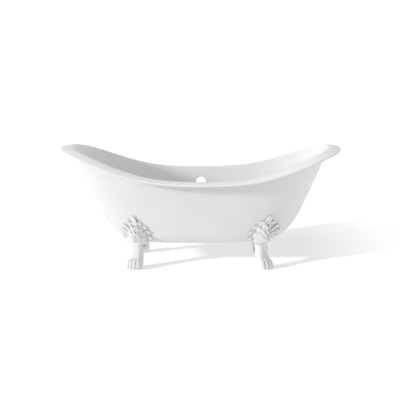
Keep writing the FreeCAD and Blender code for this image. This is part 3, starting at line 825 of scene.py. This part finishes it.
# Leg: squared ellipses through the table from the top to the sole, then in to the recess of the levelling
# screw, up its wall, in to the screw's bore and up to the bore's end.
def legGrid(place):
    f = foot
    rowCount, columns = f["legGrid"]
    a = turnParts(columns)
    share = 1 - steps(rowCount)
    forward, depth, width = throughTable(share, f["leg"])[..., None] * f["diameter"]
    x, y = squaredEllipse(a, depth, width)
    z = f["sole"] + share[:, None] * (f["height"] - f["sole"]) + 0 * x
    leg = np.stack([forward + x, y, z], -1)
    crown = blendRings(leg[0].mean(0), leg[0], steps(f["crownRows"])[:-1])
    low, top, end = f["sole"], f["recessTop"], f["boreTop"]
    wide, narrow = f["recessRadius"], f["boreRadius"]
    radius = np.array([wide, wide, wide, narrow, narrow, narrow, 0])[:, None]
    height = np.array([low, (low + top) / 2, top, top, (top + end) / 2, end, end])[:, None]
    middle = fromBath(place, *toBath(f["bolted"], f["levelReach"], 0.0))
    x = middle[0] + radius * np.cos(a)
    inner = np.stack([x, middle[1] + radius * np.sin(a), height + 0 * x], -1)
    sole = blendRings(leg[-1], inner[0], steps(f["soleRows"])[1:-1])
    return np.concatenate([crown, leg, sole, inner])


# Tube along a path in the foot's upright plane, closed at both ends: an ellipse across the path, moved
# sideways, gathered at its root and splayed at its tip.
def toeGrid(rows, across, setback, rowCount, columns):
    f = foot
    s = steps(rowCount)
    x, z, radius, half = throughTable(s, rows)
    ahead, down = np.gradient(x), np.gradient(z)
    length = np.hypot(ahead, down)
    close = np.sqrt(1 - np.abs(2 * s - 1) ** f["toeBlunt"])[:, None]
    a = turnParts(columns)
    out = radius[:, None] * close * np.cos(a)
    px = x[:, None] - out * (down / length)[:, None] - setback
    pz = z[:, None] + out * (ahead / length)[:, None]
    splayed = f["splay"] * np.maximum(x / f["splayFrom"] - 1, 0)
    gathered = f["gather"] * np.maximum(1 - x / f["gatherWithin"], 0)
    sideways = across * (1 + splayed - gathered)
    py = sideways[:, None] + half[:, None] * close * np.sin(a)
    return np.stack([px, py, np.maximum(pz, f["sole"])], -1)


# Shelf behind the leg: a slab round the stud's hole whose outline is a half circle run straight to the leg.
def shelfGrid():
    f = foot
    a = turnParts(f["shelfColumns"])
    sideRun = f["shelfHalf"] / np.maximum(np.abs(np.sin(a)), f["leastSine"])
    frontRun = f["studInset"] / np.maximum(np.cos(a), f["leastSine"])
    outline = np.where(np.cos(a) > 0, np.minimum(sideRun, frontRun), f["shelfHalf"])
    sharp, soft = quarter(f["roundRows"], f["shelfRound"])
    top, low = boss["bottom"], boss["bottom"] - f["shelfPlate"]
    hole = np.full((2, len(a)), f["studRadius"])
    radius = np.concatenate([hole, outline - soft[::-1, None], outline - soft[:, None]])
    height = np.concatenate([[low, top], top - sharp[::-1], low + sharp])
    x = radius * np.cos(a) - f["studInset"]
    return np.stack([x, radius * np.sin(a), height[:, None] + 0 * x], -1)


# Spot of the leaf at an angle off plumb and a distance from its root, leaned with the foot: y and z.
def leafSpot(place, turned, distance):
    return distance * (math.sin(turned) - place["lean"]), leaf["rootHeight"] + distance * math.cos(turned)


# One finger of the leaf: its middle line is a parabola from the root to the tip, its width swells and
# rounds off at the tip, and its section is a spoon with a rib, laid on the ground of wall and knee.
def fingerGrid(place, angle, reachShare, half, lift, curl):
    f = leaf
    rowCount, columns = f["fingerGrid"]
    reach = f["reach"] * reachShare
    s = steps(rowCount)[:, None]
    root = leafSpot(place, angle * f["rootTurn"], reach * f["innerShare"])
    bend = leafSpot(place, angle * f["bendTurn"], reach * f["bendShare"])
    tip = leafSpot(place, angle, reach)
    y0, z0 = [(1 - s) ** 2 * r + 2 * s * (1 - s) * b + s**2 * t for r, b, t in zip(root, bend, tip)]
    dy, dz = np.gradient(y0, axis=0), np.gradient(z0, axis=0)
    length = np.hypot(dy, dz)
    widening = np.sin(math.pi / 2 * np.clip(s / f["widest"], 0, 1)) ** f["swellPower"]
    swell = f["rootWidth"] + (1 - f["rootWidth"]) * widening
    tipRound = 1 - np.clip((s - f["widest"]) / (1 - f["widest"]), 0, 1) ** f["tipPower"]
    ends = np.sqrt(np.clip(tipRound, 0, 1) * np.clip(s / f["rootRound"], 0, 1))
    a = turnParts(columns)[None, :]
    u = np.cos(a)
    w = half * swell * ends
    y = y0 + w * u * dz / length
    z = z0 - w * u * dy / length
    edge = np.sqrt(np.clip(1 - u ** f["edgePower"], 0, 1))
    cup = f["scoop"] * (1 - u**2) * np.sin(math.pi * s ** f["cupSkew"]) ** f["cupPower"]
    rib = f["rib"] * np.exp(-((u / f["ribWidth"]) ** 2)) * (1 - s)
    front = f["thick"] * edge - cup + rib
    rise = np.where(np.sin(a) >= 0, front, -f["back"] * edge) * np.sqrt(ends)
    side = -f["tilt"] * u * np.sign(angle)
    x = leafGround(place, y, z) + lift + curl * s ** f["curlPower"] + rise + side
    return np.stack([x, y, z], -1)


# Collar: a ring of ellipses round the leg's own outline, whose lower edge is a row of scallops.
def collarGrid():
    f, c = foot, collar
    rowCount, columns = c["grid"]
    t = turnParts(columns)[None, :]
    a = turnParts(rowCount)[:, None]
    scallop = c["scallop"] * np.abs(np.cos(c["scallops"] / 2 * t))
    z = c["height"] - scallop * (1 - np.sin(a)) / 2 + c["half"] * np.sin(a) + 0 * t
    share = (z - f["sole"]) / (f["height"] - f["sole"])
    forward, depth, width = throughTable(share, f["leg"]) * f["diameter"]
    swell = c["off"] + c["swell"] * np.cos(a)
    x, y = squaredEllipse(t, depth + swell, width + swell)
    return np.stack([forward + x, y, z], -1)


# Points and faces of an object after its modifiers: corner numbers and where each face starts.
def finished(item):
    solved = item.evaluated_get(bpy.context.evaluated_depsgraph_get())
    mesh = solved.to_mesh()
    points = np.empty(len(mesh.vertices) * 3, np.float32)
    corners = np.empty(len(mesh.loops), np.int32)
    starts = np.empty(len(mesh.polygons), np.int32)
    mesh.vertices.foreach_get("co", points)
    mesh.loops.foreach_get("vertex_index", corners)
    mesh.polygons.foreach_get("loop_start", starts)
    solved.to_mesh_clear()
    return points.reshape(-1, 3), corners, starts


# Deletes an object and its mesh.
def removeObject(item):
    mesh = item.data
    bpy.data.objects.remove(item)
    bpy.data.meshes.remove(mesh)


# Moves every point towards the mean of its neighbours, a share at a time.
def relaxed(points, edges, share, rounds):
    count = np.bincount(edges.ravel(), minlength=len(points))[:, None]
    for _ in range(rounds):
        total = np.zeros_like(points)
        for axis in range(3):
            total[:, axis] = np.bincount(edges[:, 0], points[edges[:, 1], axis], len(points))
            total[:, axis] += np.bincount(edges[:, 1], points[edges[:, 0], axis], len(points))
        points = points + share * (total / np.maximum(count, 1) - points)
    return points


# Edges of faces given by corners and starts: each corner with the next one of its face.
def faceEdges(corners, starts):
    following = np.roll(corners, -1)
    following[np.append(starts[1:], len(corners)) - 1] = corners[starts]
    return np.stack([corners, following], -1)


# Rings of the room that a foot keeps clear of, from the shoulder down: the bowl swollen by the clearance.
def bowlRoom():
    rowCount, columns = foot["bowlRoom"]
    gap = foot["clearance"]
    floor = bath["underside"] - gap
    z = floor + (bath["shoulder"] - floor) * steps(rowCount)[::-1, None] ** 2
    return bowlRings(planShare(turnParts(columns)), z, 0.0, gap)


# Rings of the boss's room over the shelf: a plain drum.
def bossRoom():
    a = turnParts(foot["drumColumns"])
    radius = boss["radius"] + foot["clearance"]
    z = np.array([bath["side"]["bend"], boss["bottom"]])[:, None]
    x = radius * np.cos(a) - foot["studInset"] + 0 * z
    return np.stack([*toBath(foot["bolted"], x, radius * np.sin(a) + 0 * z), z + 0 * x], -1)


# Temporary block between rings that run downwards, with one flat face over each end.
def addRoom(name, rings):
    points, quads = joinGrids([rings])
    columns = rings.shape[1]
    ends = [np.arange(columns), len(points) - 1 - np.arange(columns)]
    starts = np.append(np.arange(0, quads.size, 4), [quads.size, quads.size + columns])
    return addObject(name, makeMesh(name, points, np.concatenate([quads.ravel(), *ends]), starts, []))


# Foot at the rear right: all its forms in one skin of small quads, eased, then cut clear of the bath. It is
# given as points, corner numbers and where each face starts.
def makeFoot(place):
    f = foot
    grids = [legGrid(place)]
    grids += [toeGrid(f["toe"], *toe, *f["toeGrid"]) for toe in f["toes"]]
    grids += [toeGrid(f["claw"], *toe, *f["clawGrid"]) for toe in f["toes"]]
    for angle, *row in leaf["fingers"]:
        turned = math.radians(angle)
        grids += [fingerGrid(place, t, *row) for t in ((turned, -turned) if angle else (0.0,))]
    points, quads = joinGrids(grids)
    points = np.stack([*toBath(place, points[:, 0], points[:, 1]), points[:, 2]], -1)
    rings = []
    for where, grid in ((place, collarGrid()), (f["bolted"], shelfGrid())):
        rings.append(np.stack([*toBath(where, grid[..., 0], grid[..., 1]), grid[..., 2]], -1))
    ringPoints, ringQuads = joinGrids(rings, True)
    quads = np.concatenate([quads, ringQuads + len(points)])
    points = np.concatenate([points, ringPoints])
    starts = np.arange(0, quads.size, 4)
    block = addObject("footBlock", makeMesh("footBlock", points, quads.ravel(), starts, []))
    remesh = block.modifiers.new("skin", "REMESH")
    remesh.mode = "VOXEL"
    remesh.voxel_size = f["voxel"]
    points, corners, starts = finished(block)
    removeObject(block)
    points = relaxed(points, faceEdges(corners, starts), f["easeShare"], f["easeRounds"])
    block = addObject("footBlock", makeMesh("footBlock", points, corners, starts, []))
    rooms = [addRoom("bowlRoom", bowlRoom()), addRoom("bossRoom", bossRoom())]
    for room in rooms:
        cut = block.modifiers.new(room.name, "BOOLEAN")
        cut.operation = "DIFFERENCE"
        cut.solver = "EXACT"
        cut.object = room
    result = finished(block)
    for item in [block] + rooms:
        removeObject(item)
    return result


# How hollow the skin is at each point: the height of its neighbours' mean over it, along the normal. This is
# the mask of the painted shade in the feet's hollows.
def hollowShadeShare(mesh, points, edges):
    normals = np.empty(len(points) * 3, np.float32)
    mesh.vertices.foreach_get("normal", normals)
    mean = relaxed(points, edges, 1.0, foot["hollowRounds"])
    lifted = ((mean - points) * normals.reshape(-1, 3)).sum(1)
    return np.clip(lifted / foot["hollowDepth"], 0, 1)


# Puts a finished foot at a corner: mirrored points, and faces turned round where one mirror is used.
def placeFoot(corner, skin, sideAlong, sideAcross):
    points, corners, starts = skin
    ends = np.append(starts[1:], len(corners))
    if sideAlong * sideAcross < 0:
        corners = corners[np.repeat(starts + ends - 1, ends - starts) - np.arange(len(corners))]
    points = points * np.array([sideAlong, sideAcross, 1], np.float32)
    name = "lionFoot." + corner
    mesh = makeMesh(name, points, corners, starts, [made["footPaint"]], None, foot["smoothAngle"])
    # The attribute "hollow" is the mask of painted shade in the foot's creases.
    hollow = mesh.attributes.new("hollow", "FLOAT", "POINT")
    hollow.data.foreach_set("value", hollowShadeShare(mesh, points, faceEdges(corners, starts)))
    piece = addObject(name, mesh)
    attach(piece, "tub")
    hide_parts("foot_" + corner)


rightFoot, leftFoot, rearFoot = [makeFoot(foot["places"][side]) for side in ("right", "left", "rear")]
placeFoot("front_right", rightFoot, 1, -1)
placeFoot("front_left", leftFoot, -1, -1)
placeFoot("rear_right", rearFoot, 1, 1)
placeFoot("rear_left", rearFoot, -1, 1)
print("feet made,", [len(starts) for _, _, starts in (rightFoot, leftFoot, rearFoot)], "faces")

# Fixings keep their CAD meshes: how the names of those in each finish begin.
fixings = {
    "zincPlate": ("foot_stud", "foot_washer", "foot_spring", "foot_nut", "levelling_screw", "levelling_jam"),
    "darkNylon": ("levelling_glide",),
}
for name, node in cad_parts.items():
    for finish, beginnings in fixings.items():
        if name.startswith(beginnings):
            for materialSlot in node.material_slots:
                materialSlot.material = made[finish]
print("fixings dressed")

# Camera at the photograph's place: metres, degrees, millimetres of lens and sensor, and pixels of the frame.
view = {
    "distance": 8.5,
    "height": 1.929,
    "pitch": 10.152,
    "lens": 117.66,
    "sensor": 36,
    "axisPixel": 200.87,
    "frame": 400,
    "clipEnd": 500,
}
camera = bpy.data.cameras.new("photoCamera")
camera.lens = view["lens"]
camera.sensor_width = view["sensor"]
camera.shift_x = (view["frame"] / 2 - view["axisPixel"]) / view["frame"]
camera.clip_end = view["clipEnd"]
cameraObject = bpy.data.objects.new("photoCamera", camera)
cameraObject.location = (0, -view["distance"], view["height"])
cameraObject.rotation_euler = (math.radians(90 - view["pitch"]), 0, 0)
bpy.context.scene.collection.objects.link(cameraObject)
bpy.context.scene.camera = cameraObject
print("camera placed")

# Floor that shines a little of itself, sky light and lamps. "fade" is where along X the shine begins to grow,
# where it ends and by how much. Lamps: where each comes from, its strength and its width in degrees. One lamp
# lights the floor alone, and the others show in no reflection.
studio = {
    "floorHalf": 150.0,
    "floorColour": 0.12,
    "floorRough": 0.9,
    "floorGlow": 0.692,
    "fade": (0.70, 1.32, 0.21),
    "sky": 0.737,
    "lamps": {
        "key": {"from": (-0.874, -0.389, 0.292), "strength": 2.15, "angle": 6.0},
        "floorKey": {"from": (-0.798, -0.528, 0.289), "strength": 22.8, "angle": 4.0, "floorOnly": True},
        "fill": {"from": (1.0, 0.0, 0.35), "strength": 0.12, "angle": 80.0},
    },
}


# Floor's finish: a dull grey without gloss, whose own light grows evenly from one X to another.
def makeFloorFinish():
    material = bpy.data.materials.new("paleFloor")
    material.use_nodes = True
    nodes, links = material.node_tree.nodes, material.node_tree.links
    shader = nodes["Principled BSDF"]
    shader.inputs["Base Color"].default_value = (*[studio["floorColour"]] * 3, 1)
    shader.inputs["Roughness"].default_value = studio["floorRough"]
    shader.inputs["Specular IOR Level"].default_value = 0.0
    shader.inputs["Emission Color"].default_value = (1, 1, 1, 1)
    begin, end, growth = studio["fade"]
    place = nodes.new("ShaderNodeTexCoord")
    axes = nodes.new("ShaderNodeSeparateXYZ")
    fade = nodes.new("ShaderNodeMapRange")
    fade.inputs["From Min"].default_value = begin
    fade.inputs["From Max"].default_value = end
    fade.inputs["To Min"].default_value = studio["floorGlow"]
    fade.inputs["To Max"].default_value = studio["floorGlow"] + growth
    links.new(place.outputs["Object"], axes.inputs["Vector"])
    links.new(axes.outputs["X"], fade.inputs["Value"])
    links.new(fade.outputs["Result"], shader.inputs["Emission Strength"])
    return material


half = studio["floorHalf"]
floorCorners = [(-half, -half, 0), (half, -half, 0), (half, half, 0), (-half, half, 0)]
floorMesh = bpy.data.meshes.new("studioFloor")
floorMesh.from_pydata(floorCorners, [], [(0, 1, 2, 3)])
floorMesh.materials.append(makeFloorFinish())
floor = addObject("studioFloor", floorMesh)
floorGroup = bpy.data.collections.new("floorGroup")
floorGroup.objects.link(floor)
world = bpy.data.worlds.new("studioSky")
bpy.context.scene.world = world
world.use_nodes = True
sky = world.node_tree.nodes["Background"]
sky.inputs["Color"].default_value = (1, 1, 1, 1)
sky.inputs["Strength"].default_value = studio["sky"]
for name, lamp in studio["lamps"].items():
    light = bpy.data.lights.new(name, "SUN")
    light.energy = lamp["strength"]
    light.angle = math.radians(lamp["angle"])
    item = bpy.data.objects.new(name, light)
    item.rotation_euler = Vector(lamp["from"]).to_track_quat("Z", "Y").to_euler()
    item.visible_glossy = "floorOnly" in lamp
    if "floorOnly" in lamp:
        item.light_linking.receiver_collection = floorGroup
    bpy.context.scene.collection.objects.link(item)
bpy.context.scene.view_settings.view_transform = "Standard"
print("studio made")
